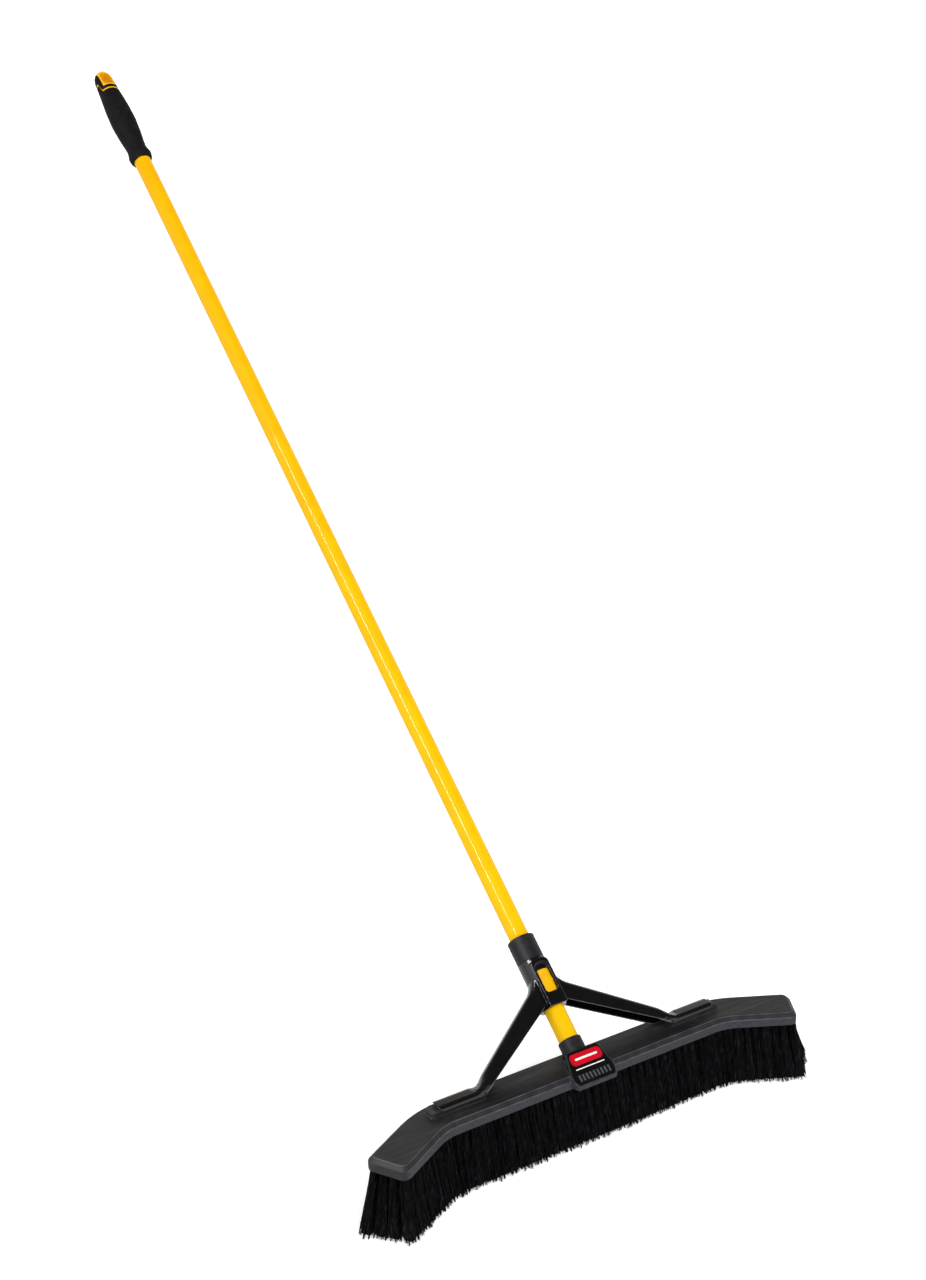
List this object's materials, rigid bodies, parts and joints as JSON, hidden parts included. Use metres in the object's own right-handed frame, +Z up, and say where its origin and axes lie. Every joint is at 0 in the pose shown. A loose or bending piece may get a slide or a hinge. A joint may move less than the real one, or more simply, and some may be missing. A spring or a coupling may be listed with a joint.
{
  "type": "push broom",
  "caption": "Wide curved push broom with stiff bristles, a moulded strut brace with a latch button, and a coated tube handle with a rubber grip and hang loop.",
  "frame": {"origin": "on the floor under the bristle tips, directly below the middle of the block's front face", "axes": "+X along the block, +Y from the swept front of the block towards the side the handle leans to, +Z up"},
  "size_m": [0.6504, 1.3331, 1.2122],
  "materials": {
    "block_plastic": "dark grey structural foam, faintly mottled",
    "brace_plastic": "glossy black moulding",
    "grey_plastic": "matt dark grey",
    "label_black": "satin black",
    "badge_red": "bright red",
    "bristle": "stiff black filament",
    "yellow_coat": "glossy yellow coating on steel tube",
    "yellow_plastic": "satin yellow plastic",
    "rubber": "matt black soft grip",
    "nylon": "black nylon",
    "steel": "plain zinc-plated steel"
  },
  "bodies": {
    "head": {"block": "block_plastic", "brace": "brace_plastic", "label_plate": "label_black", "label_badge": "badge_red", "socket_sleeve": "grey_plastic", "collar": "grey_plastic", "button_pivot_pin": "steel", "button_spring": "steel", "tufts_row1_left_wing": "bristle", "tufts_row1_middle": "bristle", "tufts_row1_right_wing": "bristle", "tufts_row2_left_wing": "bristle", "tufts_row2_left": "bristle", "tufts_row2_right": "bristle", "tufts_row2_right_wing": "bristle", "tufts_row3_left_wing": "bristle", "tufts_row3_left": "bristle", "tufts_row3_right": "bristle", "tufts_row3_right_wing": "bristle", "tufts_row4_left_wing": "bristle", "tufts_row4_middle": "bristle", "tufts_row4_right_wing": "bristle", "foot_screw_left_1": "steel", "foot_screw_left_2": "steel", "foot_screw_right_1": "steel", "foot_screw_right_2": "steel"},
    "button": {"release_button": "yellow_plastic"},
    "handle": {"pole": "yellow_coat", "pole_end_plug": "nylon", "grip_core": "yellow_plastic", "grip_sleeve": "rubber", "grip_cap": "rubber"}
  },
  "joints": [
    {"name": "button_press", "type": "hinge", "parent": "head", "child": "button", "pos_m": [0, 0.09328, 0.16563], "axis": [-1, 0, 0], "range_deg": [0, 8], "stiffness_Nm_per_rad": 0.6},
    {"name": "handle_slide", "type": "slide", "parent": "head", "child": "handle", "axis": [0, 0.7431, 0.6691], "range_m": [0, 0.18]}
  ]
}
